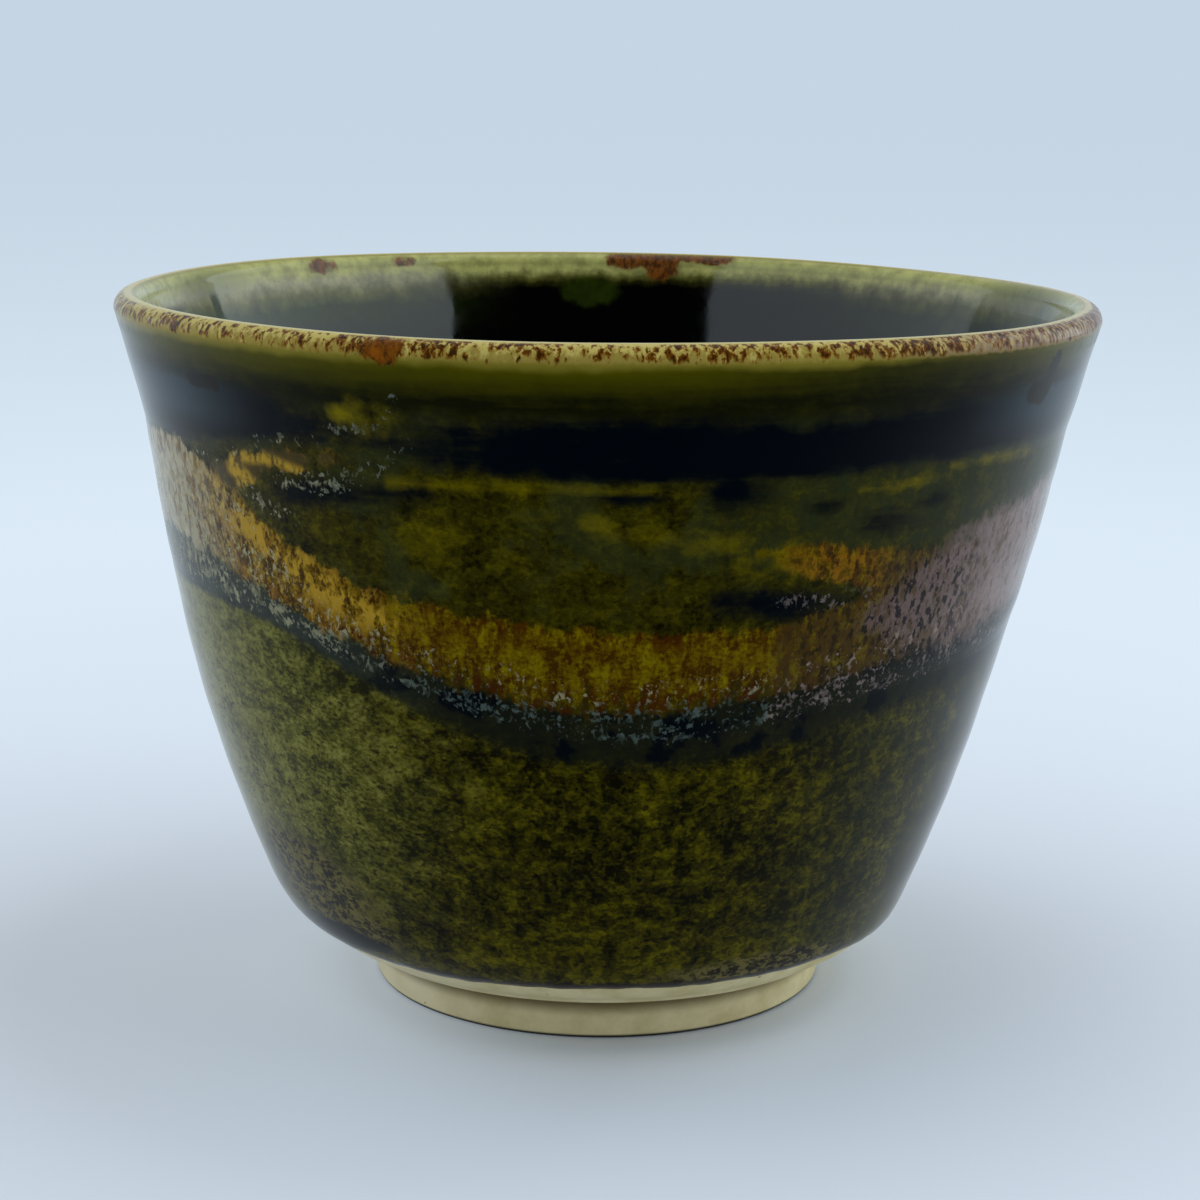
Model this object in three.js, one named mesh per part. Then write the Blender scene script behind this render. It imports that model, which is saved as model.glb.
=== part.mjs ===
// A hand-thrown stoneware tea cup: a conical clay body on a turned foot ring, under layered glazes.
// Millimetres, +Z up. The foot stands on z = 0, and the cup's axis is the Z axis.
// Azimuth 0 is the front of the cup, at -Y, and grows towards +X.
import * as THREE from 'three';

// Facets round every turned piece
const AROUND = 48;

// Foot ring: outside radius at its shoulder, radial width, height of its face and softened bottom edges
const FOOT_RADIUS = 23.4;
const FOOT_WIDTH = 4.6;
const FOOT_FACE = 2.9;
const FOOT_TAPER = 0.3;
const FOOT_EDGE = 0.4;

// Groove turned between the ring's face and the pot's underside
const GROOVE_DEPTH = 1.2;
const GROOVE_HEIGHT = 2.4;
const GROOVE_ROUND = 0.6;

// Bare underside: radius of its lower edge, width of the unglazed band and how steeply it rises
const UNDERSIDE_RADIUS = 27;
const UNDERSIDE_EDGE = 0.4;
const BARE_BAND = 3.2;
const UNDERSIDE_SLOPE = 0.69;

// Clay wall outside. A lean is how far the wall goes out for each millimetre up.
const BELLY_RADIUS = 33.85;
const BELLY_RISE = 5.5;
const BELLY_LEAN = 0.42;
const NECK_RADIUS = 46.55;
const WALL_RISE = 47;
const NECK_LEAN = 0.19;
const FLARE_OUT = 3.05;
const FLARE_RISE = 10.5;

// Clay thickness
const FLOOR_THICKNESS = 5.5;
const BELLY_THICKNESS = 5;
const NECK_THICKNESS = 3.2;
const LIP_THICKNESS = 2.2;

// Rounded corner between the floor and the wall inside
const CORNER_RUN = 14;
const CORNER_RISE = 9;

// Glaze coats. Each lies SEAT_GAP off what carries it.
const SEAT_GAP = 0.05;
const COAT_THICKNESS = 0.5;
const LIP_COAT_THICKNESS = 0.35;
const LIP_BAND = 0.6;

// Poured strokes: thickness at the middle and at the edges
const STROKE_THICKNESS = 0.35;
const STROKE_EDGE = 0.08;

// Edges of the poured strokes, as [azimuth in degrees, lower edge, upper edge].
// An edge is a share of its stroke's reach, measured down from the neck, where the flare begins.
const SWAG_REACH = 25;
const SWAG = [
  [-180, 0.94, 0.54],
  [-150, 0.8, 0.44],
  [-120, 0.62, 0.16],
  [-90, 0.54, 0.04],
  [-60, 0.58, 0.06],
  [-45, 0.62, 0.26],
  [-30, 0.78, 0.42],
  [0, 1, 0.56],
  [15, 0.98, 0.58],
  [30, 0.9, 0.49],
  [37.5, 0.86, 0.32],
  [60, 0.82, 0.28],
  [90, 0.72, 0.2],
  [120, 0.74, 0.24],
  [150, 0.86, 0.44],
  [180, 0.94, 0.54],
];
const BRANCH_REACH = 11;
const BRANCH = [
  [7.5, 0.66, 0.55],
  [15, 0.78, 0.54],
  [22.5, 0.94, 0.6],
  [30, 1, 0.65],
];
const HOOK_REACH = 1.8;
const HOOK = [
  [-45, 1, -1],
  [-37.5, 0.8, -0.8],
  [-30, 0.75, -0.75],
  [-22.5, 0.4, -0.4],
];

// Steps along each stretch of the outline, and across a stroke
const CURVE_STEPS = 4;
const WALL_STEPS = 6;
const FLARE_STEPS = 2;
const LIP_STEPS = 6;
const STROKE_STEPS = 6;

// Heights of the outline, stacked up from the table
const underside = FOOT_FACE + GROOVE_HEIGHT;
const base = underside - UNDERSIDE_EDGE;
const glazeLine = underside + BARE_BAND * UNDERSIDE_SLOPE;
const belly = glazeLine + BELLY_RISE;
const neck = belly + WALL_RISE;
const lip = neck + FLARE_RISE;
const lipRadius = NECK_RADIUS + FLARE_OUT;
const floor = base + FLOOR_THICKNESS;
const cornerTop = floor + CORNER_RISE;
const lipBand = lip - LIP_BAND;

const { lerp, mapLinear, degToRad } = THREE.MathUtils;
const at = (radius, height) => new THREE.Vector2(radius, height);
const steps = (count) => Array.from({ length: count + 1 }, (_, i) => i / count);

// A smooth rise of the radius between two heights, with the lean set at both ends
function leaning(low, lowRadius, lowLean, high, highRadius, highLean) {
  const rise = high - low;
  return (height) => {
    const t = (height - low) / rise;
    const start = (1 + 2 * t) * (1 - t) ** 2 * lowRadius + t * (1 - t) ** 2 * rise * lowLean;
    const end = t * t * (3 - 2 * t) * highRadius + t * t * (t - 1) * rise * highLean;
    return start + end;
  };
}

const wallOutside = leaning(belly, BELLY_RADIUS, BELLY_LEAN, neck, NECK_RADIUS, NECK_LEAN);
const flareOutside = (height) => mapLinear(height, neck, lip, NECK_RADIUS, lipRadius);
const outside = (height) => (height < neck ? wallOutside(height) : flareOutside(height));

function thickness(height) {
  if (height < neck) {
    return mapLinear(height, belly, neck, BELLY_THICKNESS, NECK_THICKNESS);
  }
  return mapLinear(height, neck, lip, NECK_THICKNESS, LIP_THICKNESS);
}
const inside = (height) => outside(height) - thickness(height);

// How far a wall goes out for each millimetre up, near a height
const NUDGE = 0.01;
const leanAt = (radiusAt, height) => (radiusAt(height + NUDGE) - radiusAt(height)) / NUDGE;

// Points of a wall between two heights, without the last
function wall(radiusAt, from, to, count) {
  return steps(count).slice(0, -1).map((t) => {
    const height = lerp(from, to, t);
    return at(radiusAt(height), height);
  });
}

// The belly turns from the rising underside into the wall, round the corner where their tangents meet
function bellyCurve() {
  const low = at(UNDERSIDE_RADIUS + BARE_BAND, glazeLine);
  const wallFoot = BELLY_RADIUS - BELLY_LEAN * BELLY_RISE;
  const run = (wallFoot - low.x) / (1 - BELLY_LEAN * UNDERSIDE_SLOPE);
  const corner = at(low.x + run, low.y + run * UNDERSIDE_SLOPE);
  return new THREE.QuadraticBezierCurve(low, corner, at(BELLY_RADIUS, belly));
}

// The corner inside, from the wall down to the flat of the floor
function cornerCurve() {
  const wallRadius = inside(cornerTop);
  const corner = at(wallRadius - leanAt(inside, cornerTop) * CORNER_RISE, floor);
  const floorEdge = at(wallRadius - CORNER_RUN, floor);
  return new THREE.QuadraticBezierCurve(at(wallRadius, cornerTop), corner, floorEdge);
}

// Stretches of the clay's outline, running up the outside, over the lip and down the inside
const lipRound = LIP_THICKNESS / 2;
const lipArc = steps(LIP_STEPS).map((t) => {
  const turn = Math.PI * t;
  return at(lipRadius - lipRound + lipRound * Math.cos(turn), lip + lipRound * Math.sin(turn));
});
const outsidePath = [
  ...bellyCurve().getPoints(CURVE_STEPS).slice(0, -1),
  ...wall(outside, belly, neck, WALL_STEPS),
  ...wall(outside, neck, lipBand, FLARE_STEPS),
];
const lipPath = [at(outside(lipBand), lipBand), ...lipArc, at(inside(lipBand), lipBand)];
const insidePath = [
  ...wall(inside, lipBand, neck, FLARE_STEPS).slice(1),
  ...wall(inside, neck, cornerTop, WALL_STEPS),
  ...cornerCurve().getPoints(CURVE_STEPS),
  at(0, floor),
];

// A closed outline turned round the Z axis
function turned(outline) {
  return new THREE.LatheGeometry(outline, AROUND).rotateX(Math.PI / 2);
}

// The same path moved off the clay
function offset(path, distance) {
  return path.map((point, i) => {
    const before = path[Math.max(i - 1, 0)];
    const after = path[Math.min(i + 1, path.length - 1)];
    const along = after.clone().sub(before).normalize();
    return at(point.x + along.y * distance, point.y - along.x * distance);
  });
}

// A coat of glaze over a path on the clay. A path that ends on the axis makes a closed dish.
function coat(path, thick) {
  const under = offset(path, SEAT_GAP);
  const over = offset(path, SEAT_GAP + thick).reverse();
  const onAxis = path.at(-1).x === 0;
  const outline = onAxis ? [...over, ...under] : [...over, ...under, over[0].clone()];
  return turned(outline.reverse());
}

// The coats stop short of the lip's own coat by the seat gap
const outerCoatPath = [...outsidePath, at(outside(lipBand - SEAT_GAP), lipBand - SEAT_GAP)];
const linerPath = [at(inside(lipBand - SEAT_GAP), lipBand - SEAT_GAP), ...insidePath];

// The outer coat's surface, which carries the poured strokes
const coatTop = offset(outerCoatPath, SEAT_GAP + COAT_THICKNESS);
const neckOnCoat = coatTop[CURVE_STEPS + WALL_STEPS].y;

function radiusOnCoat(height) {
  const above = coatTop.findIndex((point) => point.y > height);
  const [low, high] = coatTop.slice(above - 1);
  return mapLinear(height, low.y, high.y, low.x, high.x);
}

function onCoat(azimuth, height, raised) {
  const radius = radiusOnCoat(height) + SEAT_GAP + raised;
  return new THREE.Vector3(radius * Math.sin(azimuth), -radius * Math.cos(azimuth), height);
}

// Joins sections, each a ring of as many points, into one closed skin
function skin(sections, closed) {
  const count = sections[0].length;
  const faces = [];
  const quad = (a, b, c, d) => faces.push(a, b, c, a, c, d);
  const joined = closed ? sections.length : sections.length - 1;
  for (let i = 0; i < joined; i += 1) {
    const here = i * count;
    const next = ((i + 1) % sections.length) * count;
    for (let j = 0; j < count; j += 1) {
      const k = (j + 1) % count;
      quad(here + j, here + k, next + k, next + j);
    }
  }
  if (!closed) {
    const last = (sections.length - 1) * count;
    for (let j = 0; j < STROKE_STEPS; j += 1) {
      const back = count - 1 - j;
      quad(j, back, back - 1, j + 1);
      quad(last + j, last + j + 1, last + back - 1, last + back);
    }
  }
  const points = sections.flat().flatMap((point) => point.toArray());
  return new THREE.BufferGeometry()
    .setAttribute('position', new THREE.Float32BufferAttribute(points, 3))
    .setIndex(faces);
}

// A poured stroke: thin at both edges, thicker in the middle, following the wall round
function stroke(reach, stations) {
  const edges = new THREE.CubicInterpolant(
    stations.map(([azimuth]) => azimuth),
    stations.flatMap(([, lower, upper]) => [neckOnCoat - lower * reach, neckOnCoat - upper * reach]),
    2,
  );
  const facet = 360 / AROUND;
  const first = Math.round(stations[0][0] / facet);
  const last = Math.round(stations.at(-1)[0] / facet);
  const closed = last - first === AROUND;
  const sections = [];
  for (let i = first; i <= (closed ? last - 1 : last); i += 1) {
    const [lower, upper] = edges.evaluate(i * facet);
    const azimuth = degToRad(i * facet);
    const heights = steps(STROKE_STEPS).map((t) => lerp(lower, upper, t));
    const raised = steps(STROKE_STEPS).map((t) => lerp(STROKE_EDGE, STROKE_THICKNESS, Math.sin(Math.PI * t)));
    const under = heights.map((height) => onCoat(azimuth, height, 0));
    const over = heights.map((height, j) => onCoat(azimuth, height, raised[j]));
    sections.push([...under, ...over.reverse()]);
  }
  return skin(sections, closed);
}

function footRing() {
  const inner = FOOT_RADIUS - FOOT_WIDTH;
  const bottom = FOOT_RADIUS - FOOT_TAPER;
  const root = FOOT_RADIUS - GROOVE_DEPTH;
  const seat = base - SEAT_GAP;
  return turned([
    at(inner + FOOT_EDGE, 0),
    at(bottom - FOOT_EDGE, 0),
    at(bottom, FOOT_EDGE),
    at(FOOT_RADIUS, FOOT_FACE),
    at(root, FOOT_FACE + GROOVE_ROUND),
    at(root, seat),
    at(inner, seat),
    at(inner, FOOT_EDGE),
    at(inner + FOOT_EDGE, 0),
  ]);
}

function clayBody() {
  return turned([
    at(0, base),
    at(UNDERSIDE_RADIUS - UNDERSIDE_EDGE, base),
    at(UNDERSIDE_RADIUS, underside),
    ...outsidePath,
    ...lipPath,
    ...insidePath,
  ]);
}

const bareClay = { color: 0xcfc5a2, roughness: 0.85 };
const oliveGlaze = { color: 0x4f4c10, roughness: 0.15 };
const linerGlaze = { color: 0x5a5f1c, roughness: 0.12 };
const paleGlaze = { color: 0xb3a468, roughness: 0.25 };
const ochreGlaze = { color: 0x8a5f1a, roughness: 0.2 };

function piece(name, geometry, finish) {
  const mesh = new THREE.Mesh(geometry, new THREE.MeshStandardMaterial({ ...finish, metalness: 0 }));
  mesh.name = name;
  return mesh;
}

const cup = new THREE.Group();
cup.add(
  piece('foot_ring', footRing(), bareClay),
  piece('clay_body', clayBody(), bareClay),
  piece('liner_glaze', coat(linerPath, COAT_THICKNESS), linerGlaze),
  piece('outer_glaze', coat(outerCoatPath, COAT_THICKNESS), oliveGlaze),
  piece('lip_glaze', coat(lipPath, LIP_COAT_THICKNESS), paleGlaze),
  piece('swag_glaze', stroke(SWAG_REACH, SWAG), ochreGlaze),
  piece('branch_glaze', stroke(BRANCH_REACH, BRANCH), ochreGlaze),
  piece('hook_glaze', stroke(HOOK_REACH, HOOK), ochreGlaze),
);

export default cup;
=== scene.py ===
# A hand-thrown stoneware tea cup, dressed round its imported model: bare clay, layered glazes and soft light.
# Azimuth 0 is the front of the cup, at -Y, and grows towards +X. Outlines are in millimetres.
import math

import bpy
import numpy as np
from mathutils import Matrix, Vector


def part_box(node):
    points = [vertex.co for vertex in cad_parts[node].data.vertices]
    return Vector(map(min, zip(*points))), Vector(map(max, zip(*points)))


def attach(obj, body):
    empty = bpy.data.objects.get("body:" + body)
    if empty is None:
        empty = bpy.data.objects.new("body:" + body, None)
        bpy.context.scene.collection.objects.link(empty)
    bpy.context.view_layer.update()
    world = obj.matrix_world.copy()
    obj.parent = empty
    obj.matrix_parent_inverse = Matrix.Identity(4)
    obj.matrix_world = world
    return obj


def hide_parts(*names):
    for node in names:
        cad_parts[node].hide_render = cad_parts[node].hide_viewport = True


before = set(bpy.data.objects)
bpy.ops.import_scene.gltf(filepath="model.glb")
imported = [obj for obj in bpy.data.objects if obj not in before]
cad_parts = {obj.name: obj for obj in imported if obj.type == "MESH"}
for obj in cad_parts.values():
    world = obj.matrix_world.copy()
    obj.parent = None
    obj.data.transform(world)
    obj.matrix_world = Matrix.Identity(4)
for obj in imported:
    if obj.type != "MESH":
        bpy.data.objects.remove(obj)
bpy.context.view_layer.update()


# Foot ring
# The low ring that the cup stands on, of bare cream stoneware. It is turned from the leather-hard clay,
# with a soft cove cut in above its face, and wiped clean of glaze so that it doesn't stick in the kiln.
MM = 0.001
foot_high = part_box("foot_ring")[1]
FOOT_RADIUS = foot_high[0] / MM
FOOT_SWELL = 0.4
FOOT_HEIGHT = foot_high[2] / MM
FOOT_WIDTH = 4.6
FOOT_FACE = 2.2
FOOT_TAPER = 0.3
FOOT_EDGE = 0.45
COVE_DEPTH = 1.7
FOOT_TURNS = 240
# Where the painted contact shadow along the foot's bottom outer edge starts and ends, as radii in millimetres
CONTACT_START = 22.6
CONTACT_END = 23.1
CLAY_PALE = (0.74, 0.64, 0.37, 1)
CLAY_WARM = (0.58, 0.48, 0.24, 1)
# Paler clay for the left side of the foot: painted light
CLAY_CREAM = (0.9, 0.8, 0.56, 1)
CLAY_SHADE = (0.15, 0.105, 0.028, 1)
CLAY_DIRT = (0.02, 0.017, 0.012, 1)
CLAY_SPECK = (0.09, 0.06, 0.03, 1)
# How far the thrown pot departs from a true one
OVAL = 0.1
LOBES = 0.05
THROWING_RINGS = 0.02
FOOT_SHIFT = 0.36
BELLY_SHIFT = 0.69
LIP_TILT = 0.28
LIP_WAVE = 0.1
LIP_RIPPLE = 0.06


def ease(value, start, end):
    """A smooth step from 0 at start to 1 at end."""
    share = np.clip((np.asarray(value, float) - start) / (end - start), 0, 1)
    return share * share * (3 - 2 * share)


def arc(middle, radius, start, end, count):
    """Points on a round stretch of an outline. The angles are in degrees, from outwards to upwards."""
    angles = [math.radians(start + (end - start) * i / count) for i in range(count + 1)]
    return [(middle[0] + radius * math.cos(a), middle[1] + radius * math.sin(a)) for a in angles]


def places_of(piece):
    """The piece's vertices in millimetres, one row each."""
    flat = np.empty(len(piece.data.vertices) * 3)
    piece.data.vertices.foreach_get("co", flat)
    return flat.reshape(-1, 3) / MM


def put_places(piece, places):
    """Moves the piece's vertices to the given places in millimetres."""
    piece.data.vertices.foreach_set("co", (places * MM).ravel())
    piece.data.update()


def azimuth_of(places):
    """Degrees round the cup from the front, positive towards +X."""
    return np.degrees(np.arctan2(places[:, 0], -places[:, 1]))


def shape_by_hand(piece):
    """Moves a true piece as the hand-thrown pot departs from it: its lean, its waves and its tilted lip."""
    places = places_of(piece)
    height = places[:, 2]
    turn = np.radians(azimuth_of(places))
    wall = ease(height, 6, 20)
    wave = OVAL * np.sin(2 * turn + 0.8) + LOBES * np.sin(3 * turn + 2.1)
    spiral = THROWING_RINGS * np.sin(height * 0.9 + turn)
    radius = np.hypot(places[:, 0], places[:, 1])
    grow = 1 + wall * (wave + spiral) / np.maximum(radius, 10)
    lean = -(FOOT_SHIFT + BELLY_SHIFT * ease(height, 5, 13)) * (1 - ease(height, 30, 64))
    lip_waves = LIP_WAVE * np.sin(2 * turn + 0.6) + LIP_RIPPLE * np.sin(5 * turn)
    tilt = lip_waves - LIP_TILT * places[:, 0] / 50
    places[:, 2] += tilt * ease(height, 40, 72)
    places[:, 0] = places[:, 0] * grow + lean
    places[:, 1] *= grow
    put_places(piece, places)


def turned_piece(name, outline, turns):
    """A piece of the pot, turned round the cup's axis from a closed outline of (radius, height)."""
    bpy.ops.object.select_all(action="DESELECT")
    bpy.ops.mesh.primitive_plane_add(size=MM)
    piece = bpy.context.object
    piece.name = name
    bpy.ops.object.mode_set(mode="EDIT")
    bpy.ops.mesh.merge(type="CENTER")
    corners = [Vector((radius * MM, 0, height * MM)) for radius, height in outline]
    if outline[0][0] > 0:
        corners.append(corners[0])
    bpy.ops.transform.translate(value=corners[0])
    for here, there in zip(corners, corners[1:]):
        bpy.ops.mesh.extrude_region_move(TRANSFORM_OT_translate={"value": there - here})
    bpy.ops.mesh.select_all(action="SELECT")
    bpy.ops.mesh.spin(steps=turns, angle=math.tau, center=(0, 0, 0), axis=(0, 0, 1))
    bpy.ops.mesh.select_all(action="SELECT")
    bpy.ops.mesh.remove_doubles(threshold=0.002 * MM)
    bpy.ops.mesh.normals_make_consistent(inside=False)
    bpy.ops.object.mode_set(mode="OBJECT")
    return piece


def smooth_faces(piece, degrees=40):
    """Shades the piece smooth, apart from its sharp edges."""
    bpy.ops.object.select_all(action="DESELECT")
    bpy.context.view_layer.objects.active = piece
    piece.select_set(True)
    bpy.ops.object.shade_smooth_by_angle(angle=math.radians(degrees))


def dress(piece, material, node):
    """Gives a finished piece its material, hangs it on the root body and hides the CAD node that it stands
    for.
    """
    piece.data.materials.clear()
    piece.data.materials.append(material)
    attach(piece, "root")
    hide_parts(node)


def put(tree, kind, inputs=None, **settings):
    """A new shader node. An input is a value or another node's output."""
    node = tree.nodes.new("ShaderNode" + kind)
    for name, value in settings.items():
        setattr(node, name, value)
    for socket, value in (inputs or {}).items():
        if isinstance(value, bpy.types.NodeSocket):
            tree.links.new(value, node.inputs[socket])
        else:
            node.inputs[socket].default_value = value
    return node


def sums(tree, operation, first, second=0.0):
    """The result of a sum on two values."""
    return put(tree, "Math", {0: first, 1: second}, operation=operation).outputs[0]


def both(tree, first, second):
    """The share that two masks have in common."""
    return sums(tree, "MULTIPLY", first, second)


def weigh(tree, *parts):
    """The sum of (value, weight) parts."""
    total = 0.0
    for value, weight in parts:
        total = put(tree, "Math", {0: value, 1: weight, 2: total}, operation="MULTIPLY_ADD").outputs[0]
    return total


def rise(tree, value, start, end, low=0.0, high=1.0):
    """A smooth step of a value from low at start to high at end."""
    inputs = {"Value": value, "From Min": start, "From Max": end, "To Min": low, "To Max": high}
    return put(tree, "MapRange", inputs, interpolation_type="SMOOTHSTEP").outputs["Result"]


def blend(tree, share, under, over):
    """Two colours mixed, with that share of the second."""
    return put(tree, "Mix", {0: share, 6: under, 7: over}, data_type="RGBA").outputs[2]


def layered(tree, colour, *coats):
    """A colour with others laid over it in turn, each as (share, colour)."""
    for share, over in coats:
        colour = blend(tree, share, colour, over)
    return colour


def ramp(tree, value, stops):
    """A colour that runs through (position, colour) stops."""
    node = put(tree, "ValToRGB", {"Fac": value})
    steps = node.color_ramp.elements
    for (position, colour), step in zip(stops, list(steps) + [None] * (len(stops) - 2)):
        step = step or steps.new(position)
        step.position = position
        step.color = colour
    return node.outputs["Color"]


def grain(tree, size, detail=4.0, rough=0.55, warp=0.0, along=(1, 1, 1), shift=0.0):
    """Noise over the piece. Size is its coarsest grain in millimetres, and along stretches it by axis."""
    place = put(tree, "TexCoord").outputs["Object"]
    scale = [1 / (MM * size * stretch) for stretch in along]
    moved = put(tree, "Mapping", {"Vector": place, "Scale": scale, "Location": (shift, shift, shift)})
    inputs = {
        "Vector": moved.outputs[0],
        "Scale": 1.0,
        "Detail": detail,
        "Roughness": rough,
        "Distortion": warp,
    }
    return put(tree, "TexNoise", inputs).outputs["Fac"]


def height_of(tree):
    """The height over the table in millimetres."""
    place = put(tree, "TexCoord").outputs["Object"]
    level = put(tree, "SeparateXYZ", {0: place}).outputs["Z"]
    return sums(tree, "MULTIPLY", level, 1 / MM)


def new_material(name):
    """An empty material: its tree, its shader and the material itself."""
    material = bpy.data.materials.new(name)
    material.use_nodes = True
    tree = material.node_tree
    return tree, tree.nodes["Principled BSDF"], material


def lay_surface(tree, shader, colour, roughness, relief, strength, depth):
    """Links a material's colour, roughness and fine relief. The relief's depth is in millimetres."""
    bump = put(tree, "Bump", {"Height": relief, "Strength": strength, "Distance": depth * MM})
    tree.links.new(colour, shader.inputs["Base Color"])
    tree.links.new(roughness, shader.inputs["Roughness"])
    tree.links.new(bump.outputs["Normal"], shader.inputs["Normal"])


tree, shader, bare_clay = new_material("bare_clay")
place = put(tree, "TexCoord").outputs["Object"]
aside = put(tree, "SeparateXYZ", {0: place}).outputs["X"]
flat_place = put(tree, "VectorMath", {0: place, 1: (1, 1, 0)}, operation="MULTIPLY").outputs["Vector"]
spread = put(tree, "VectorMath", {0: flat_place}, operation="LENGTH").outputs["Value"]
level = height_of(tree)
# Painted shade in the cove under the overhanging bare band
cove_shade = both(tree, rise(tree, level, 2.2, 3.8, 0.0, 0.88), rise(tree, level, 5.1, 4.9))
contact = rise(tree, spread, CONTACT_START * MM, CONTACT_END * MM)
speck = rise(tree, grain(tree, 0.9, 2, 0.5, shift=7), 0.735, 0.76)
clay_tone = layered(
    tree,
    CLAY_PALE,
    (rise(tree, grain(tree, 5.0, 5, 0.6), 0.35, 0.7), CLAY_WARM),
    # Painted light: the clay on the left side, where the light falls stronger, is painted paler
    (rise(tree, aside, -0.008, -0.024, 0.0, 0.7), CLAY_CREAM),
    (cove_shade, CLAY_SHADE),
    # Painted shadow: a dark line along the bottom outer edge of the foot, where it meets the floor
    (both(tree, rise(tree, level, 0.5, 0.22), contact), CLAY_DIRT),
    (speck, CLAY_SPECK),
)
tooling = grain(tree, 1.0, 3, 0.6, along=(14, 14, 0.28))
sand = grain(tree, 0.35, 3, 0.7)
relief = weigh(tree, (tooling, 0.6), (sand, 0.4), (speck, -0.5))
lay_surface(tree, shader, clay_tone, rise(tree, sand, 0.3, 0.7, 0.68, 0.82), relief, 0.35, 0.08)
shader.inputs["Specular IOR Level"].default_value = 0.3

foot_inside = FOOT_RADIUS - FOOT_WIDTH
foot_outside = FOOT_RADIUS + FOOT_SWELL
foot_bottom = foot_outside - FOOT_TAPER
cove_root = FOOT_RADIUS - COVE_DEPTH
cove_turns = [math.radians(90 * i / 9) for i in range(10)]
cove_height = FOOT_HEIGHT - FOOT_FACE
foot_outline = [
    (foot_inside, FOOT_HEIGHT),
    (foot_inside, FOOT_HEIGHT / 2),
    *arc((foot_inside + FOOT_EDGE, FOOT_EDGE), FOOT_EDGE, 180, 270, 5),
    ((foot_inside + foot_bottom) / 2, 0),
    *arc((foot_bottom - FOOT_EDGE, FOOT_EDGE), FOOT_EDGE, 270, 360, 5),
    (foot_bottom + FOOT_TAPER * 0.4, FOOT_FACE * 0.4),
    (foot_bottom + FOOT_TAPER * 0.8, FOOT_FACE * 0.75),
    *[
        (cove_root + (foot_outside - cove_root) * math.cos(a), FOOT_FACE + cove_height * math.sin(a))
        for a in cove_turns
    ],
]
foot_ring = turned_piece("foot_ring_clay", foot_outline, FOOT_TURNS)
shape_by_hand(foot_ring)
smooth_faces(foot_ring)
dress(foot_ring, bare_clay, "foot_ring")


# Clay body
# The pot itself, thrown in one pull from a lump of the same cream stoneware: floor, conical wall and lip.
# A narrow band above the foot stays bare. The rest carries the glazes.
body_low, body_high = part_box("clay_body")
BASE = body_low[2] / MM
UNDERSIDE_RADIUS = 27.0
UNDERSIDE_EDGE = 0.4
GLAZE_LINE = (30.2, 7.508)
BAND_SWELL = 0.6
BELLY = (33.85, 13.008)
BELLY_LEAN = 0.42
NECK = (46.55, 60.008)
NECK_LEAN = 0.19
LIP_ROUND = 1.1
LIP = (body_high[0] / MM, body_high[2] / MM - LIP_ROUND)
FLOOR = 10.4
CORNER_RUN = 14.0
CORNER_TOP = 19.4
THICKNESS = ((BELLY[1], 5.0), (NECK[1], 3.2), (LIP[1], 2.2))
BODY_TURNS = 240
STEP = 0.75


def wall_radius(height):
    """The clay's outside radius between the belly and the lip."""
    rise_of_wall = NECK[1] - BELLY[1]
    t = np.clip((np.asarray(height, float) - BELLY[1]) / rise_of_wall, 0, 1)
    curve = (
        (2 * t**3 - 3 * t**2 + 1) * BELLY[0]
        + (t**3 - 2 * t**2 + t) * rise_of_wall * BELLY_LEAN
        + (3 * t**2 - 2 * t**3) * NECK[0]
        + (t**3 - t**2) * rise_of_wall * NECK_LEAN
    )
    flare = np.clip((height - NECK[1]) / (LIP[1] - NECK[1]), 0, 1)
    return curve + flare * (LIP[0] - NECK[0])


def wall_inside(height):
    """The clay's inside radius at a height on the wall."""
    levels, depths = zip(*THICKNESS)
    return wall_radius(height) - np.interp(height, levels, depths)


def wall_line(side, low, high, step=STEP):
    """Points at even heights along one side of the clay's wall, both ends included."""
    levels = np.linspace(low, high, max(2, round(abs(high - low) / step) + 1))
    return [(float(side(level)), float(level)) for level in levels]


def swing(start, corner, end, count):
    """Points on the round stretch between two straight ones that meet at a corner."""
    shares = [i / count for i in range(count + 1)]
    return [
        tuple((1 - t) ** 2 * a + 2 * t * (1 - t) * b + t * t * c for a, b, c in zip(start, corner, end))
        for t in shares
    ]


def between(value, start, full, fading, end):
    """A smooth rise from 0 at start to 1 at full, and a fall from there at fading to 0 at end."""
    return ease(value, start, full) * (1 - ease(value, fading, end))


def fuller(point):
    """The bare band swells a little below the glaze."""
    radius, height = point
    return radius + BAND_SWELL * float(between(height, 5.2, 6.2, 6.6, 8.2)), height


band_slope = (GLAZE_LINE[1] - BASE - UNDERSIDE_EDGE) / (GLAZE_LINE[0] - UNDERSIDE_RADIUS)
meet = BELLY[0] - GLAZE_LINE[0] - BELLY_LEAN * (BELLY[1] - GLAZE_LINE[1])
meet /= 1 - BELLY_LEAN * band_slope
belly_corner = (GLAZE_LINE[0] + meet, GLAZE_LINE[1] + band_slope * meet)
belly_swing = [fuller(point) for point in swing(GLAZE_LINE, belly_corner, BELLY, 9)]
clay_outside = belly_swing[:-1] + wall_line(wall_radius, BELLY[1], LIP[1])
lip_middle = (LIP[0] - LIP_ROUND, LIP[1])
inside_lean = (wall_inside(CORNER_TOP + 1) - wall_inside(CORNER_TOP)).item()
corner_start = (float(wall_inside(CORNER_TOP)), CORNER_TOP)
inside_corner = (corner_start[0] - inside_lean * (CORNER_TOP - FLOOR), FLOOR)
corner_end = (corner_start[0] - CORNER_RUN, FLOOR)
clay_inside = wall_line(wall_inside, LIP[1], CORNER_TOP)[:-1]
clay_inside += swing(corner_start, inside_corner, corner_end, 14)
clay_inside += [(corner_end[0] * share, FLOOR) for share in (0.75, 0.5, 0.25, 0)]
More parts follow.
